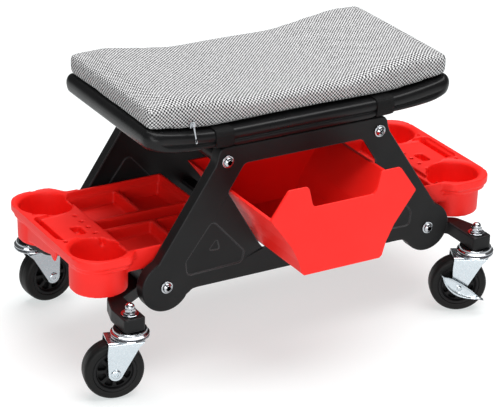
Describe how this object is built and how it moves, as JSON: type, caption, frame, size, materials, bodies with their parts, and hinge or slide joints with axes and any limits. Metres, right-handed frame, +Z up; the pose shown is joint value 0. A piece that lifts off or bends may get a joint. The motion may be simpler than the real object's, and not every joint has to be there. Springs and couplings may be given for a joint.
{
  "type": "rolling creeper seat",
  "caption": "Rolling workshop seat: dished padded top on formed side plates with swivel casters, a pull-out bin and end trays with cups.",
  "frame": {"origin": "On the floor, under the middle of the whole seat's outline, casters and bin included.", "axes": "+Z up. +X along the seat, from one tray to the other; +Y from the bin's front end towards the back plate."},
  "size_m": [0.6122, 0.3734, 0.357],
  "materials": {
    "mat_side_plate_front": "satin black powder coat",
    "mat_side_plate_back": "satin black powder coat",
    "mat_crossbar_upper_left": "satin black powder coat",
    "mat_crossbar_upper_right": "satin black powder coat",
    "mat_cross_tube_lower_left": "satin black powder coat",
    "mat_cross_tube_lower_right": "satin black powder coat",
    "mat_seat_mount_left": "satin black powder coat",
    "mat_seat_mount_right": "satin black powder coat",
    "mat_bolt_front_upper_left": "bright zinc plate",
    "mat_bolt_front_upper_right": "bright zinc plate",
    "mat_bolt_front_lower_left": "bright zinc plate",
    "mat_bolt_front_lower_right": "bright zinc plate",
    "mat_bolt_back_upper_left": "bright zinc plate",
    "mat_bolt_back_upper_right": "bright zinc plate",
    "mat_bolt_back_lower_left": "bright zinc plate",
    "mat_bolt_back_lower_right": "bright zinc plate",
    "mat_caster_beam_left": "satin black powder coat",
    "mat_caster_beam_right": "satin black powder coat",
    "mat_caster_stem_fl": "bright zinc plate",
    "mat_caster_stem_fr": "bright zinc plate",
    "mat_caster_stem_bl": "bright zinc plate",
    "mat_caster_stem_br": "bright zinc plate",
    "mat_caster_nut_fl": "bright zinc plate",
    "mat_caster_nut_fr": "bright zinc plate",
    "mat_caster_nut_bl": "bright zinc plate",
    "mat_caster_nut_br": "bright zinc plate",
    "mat_seat_base": "satin black moulding",
    "mat_cushion": "light grey basket weave over foam",
    "mat_strap_left": "black webbing",
    "mat_strap_right": "black webbing",
    "mat_zip_slider": "bright plated",
    "mat_bin_rail_left": "satin black powder coat",
    "mat_bin_rail_right": "satin black powder coat",
    "mat_tray_runner_front": "satin black powder coat",
    "mat_tray_runner_back": "satin black powder coat",
    "mat_bin": "red moulding, fine grain",
    "mat_tray_left": "red moulding, fine grain",
    "mat_tray_right": "red moulding, fine grain",
    "mat_fork_fl": "bright zinc plate",
    "mat_axle_fl": "bright zinc plate",
    "mat_hub_fl": "moulded black polypropylene",
    "mat_tyre_fl": "black rubber",
    "mat_fork_fr": "bright zinc plate",
    "mat_axle_fr": "bright zinc plate",
    "mat_hub_fr": "moulded black polypropylene",
    "mat_tyre_fr": "black rubber",
    "mat_fork_bl": "bright zinc plate",
    "mat_axle_bl": "bright zinc plate",
    "mat_hub_bl": "moulded black polypropylene",
    "mat_tyre_bl": "black rubber",
    "mat_fork_br": "bright zinc plate",
    "mat_axle_br": "bright zinc plate",
    "mat_hub_br": "moulded black polypropylene",
    "mat_tyre_br": "black rubber",
    "mat_brake_pedal": "bright zinc plate",
    "mat_zip_pull": "bright plated"
  },
  "bodies": {
    "frame": {"side_plate_front": "mat_side_plate_front", "side_plate_back": "mat_side_plate_back", "crossbar_upper_left": "mat_crossbar_upper_left", "crossbar_upper_right": "mat_crossbar_upper_right", "cross_tube_lower_left": "mat_cross_tube_lower_left", "cross_tube_lower_right": "mat_cross_tube_lower_right", "seat_mount_left": "mat_seat_mount_left", "seat_mount_right": "mat_seat_mount_right", "bolt_front_upper_left": "mat_bolt_front_upper_left", "bolt_front_upper_right": "mat_bolt_front_upper_right", "bolt_front_lower_left": "mat_bolt_front_lower_left", "bolt_front_lower_right": "mat_bolt_front_lower_right", "bolt_back_upper_left": "mat_bolt_back_upper_left", "bolt_back_upper_right": "mat_bolt_back_upper_right", "bolt_back_lower_left": "mat_bolt_back_lower_left", "bolt_back_lower_right": "mat_bolt_back_lower_right", "caster_beam_left": "mat_caster_beam_left", "caster_beam_right": "mat_caster_beam_right", "caster_stem_fl": "mat_caster_stem_fl", "caster_stem_fr": "mat_caster_stem_fr", "caster_stem_bl": "mat_caster_stem_bl", "caster_stem_br": "mat_caster_stem_br", "caster_nut_fl": "mat_caster_nut_fl", "caster_nut_fr": "mat_caster_nut_fr", "caster_nut_bl": "mat_caster_nut_bl", "caster_nut_br": "mat_caster_nut_br", "seat_base": "mat_seat_base", "cushion": "mat_cushion", "strap_left": "mat_strap_left", "strap_right": "mat_strap_right", "zip_slider": "mat_zip_slider", "bin_rail_left": "mat_bin_rail_left", "bin_rail_right": "mat_bin_rail_right", "tray_runner_front": "mat_tray_runner_front", "tray_runner_back": "mat_tray_runner_back"},
    "bin": {"bin": "mat_bin"},
    "tray_left": {"tray_left": "mat_tray_left"},
    "tray_right": {"tray_right": "mat_tray_right"},
    "fork_fl": {"fork_fl": "mat_fork_fl", "axle_fl": "mat_axle_fl"},
    "wheel_fl": {"hub_fl": "mat_hub_fl", "tyre_fl": "mat_tyre_fl"},
    "fork_fr": {"fork_fr": "mat_fork_fr", "axle_fr": "mat_axle_fr"},
    "wheel_fr": {"hub_fr": "mat_hub_fr", "tyre_fr": "mat_tyre_fr"},
    "fork_bl": {"fork_bl": "mat_fork_bl", "axle_bl": "mat_axle_bl"},
    "wheel_bl": {"hub_bl": "mat_hub_bl", "tyre_bl": "mat_tyre_bl"},
    "fork_br": {"fork_br": "mat_fork_br", "axle_br": "mat_axle_br"},
    "wheel_br": {"hub_br": "mat_hub_br", "tyre_br": "mat_tyre_br"},
    "brake_pedal": {"brake_pedal": "mat_brake_pedal"},
    "zip_pull": {"zip_pull": "mat_zip_pull"}
  },
  "joints": [
    {"name": "bin_slide", "type": "slide", "parent": "frame", "child": "bin", "axis": [0, -1, 0], "range_m": [-0.09, 0.09]},
    {"name": "tray_left_slide", "type": "slide", "parent": "frame", "child": "tray_left", "axis": [-1, 0, 0], "range_m": [0, 0.1]},
    {"name": "tray_right_slide", "type": "slide", "parent": "frame", "child": "tray_right", "axis": [1, 0, 0], "range_m": [0, 0.1]},
    {"name": "swivel_fl", "type": "hinge", "parent": "frame", "child": "fork_fl", "pos_m": [-0.2479, -0.11525, 0.0826], "axis": [0, 0, 1], "continuous": true},
    {"name": "roll_fl", "type": "hinge", "parent": "fork_fl", "child": "wheel_fl", "pos_m": [-0.26828, -0.11017, 0.0375], "axis": [-0.2419, -0.9703, 0], "continuous": true},
    {"name": "swivel_fr", "type": "hinge", "parent": "frame", "child": "fork_fr", "pos_m": [0.2581, -0.11525, 0.0826], "axis": [0, 0, 1], "continuous": true},
    {"name": "roll_fr", "type": "hinge", "parent": "fork_fr", "child": "wheel_fr", "pos_m": [0.23907, -0.10637, 0.0375], "axis": [-0.4226, -0.9063, 0], "continuous": true},
    {"name": "swivel_bl", "type": "hinge", "parent": "frame", "child": "fork_bl", "pos_m": [-0.2479, 0.16275, 0.0826], "axis": [0, 0, 1], "continuous": true},
    {"name": "roll_bl", "type": "hinge", "parent": "fork_bl", "child": "wheel_bl", "pos_m": [-0.22698, 0.16458, 0.0375], "axis": [-0.0872, 0.9962, 0], "continuous": true},
    {"name": "swivel_br", "type": "hinge", "parent": "frame", "child": "fork_br", "pos_m": [0.2581, 0.16275, 0.0826], "axis": [0, 0, 1], "continuous": true},
    {"name": "roll_br", "type": "hinge", "parent": "fork_br", "child": "wheel_br", "pos_m": [0.23837, 0.15557, 0.0375], "axis": [0.342, -0.9397, 0], "continuous": true},
    {"name": "brake_rock", "type": "hinge", "parent": "fork_fr", "child": "brake_pedal", "pos_m": [0.23907, -0.10637, 0.0375], "axis": [-0.4226, -0.9063, 0], "range_deg": [-18, 18]},
    {"name": "pull_swing", "type": "hinge", "parent": "frame", "child": "zip_pull", "pos_m": [-0.1529, -0.09475, 0.32366], "axis": [1, 0, 0], "range_deg": [-75, 0]}
  ]
}
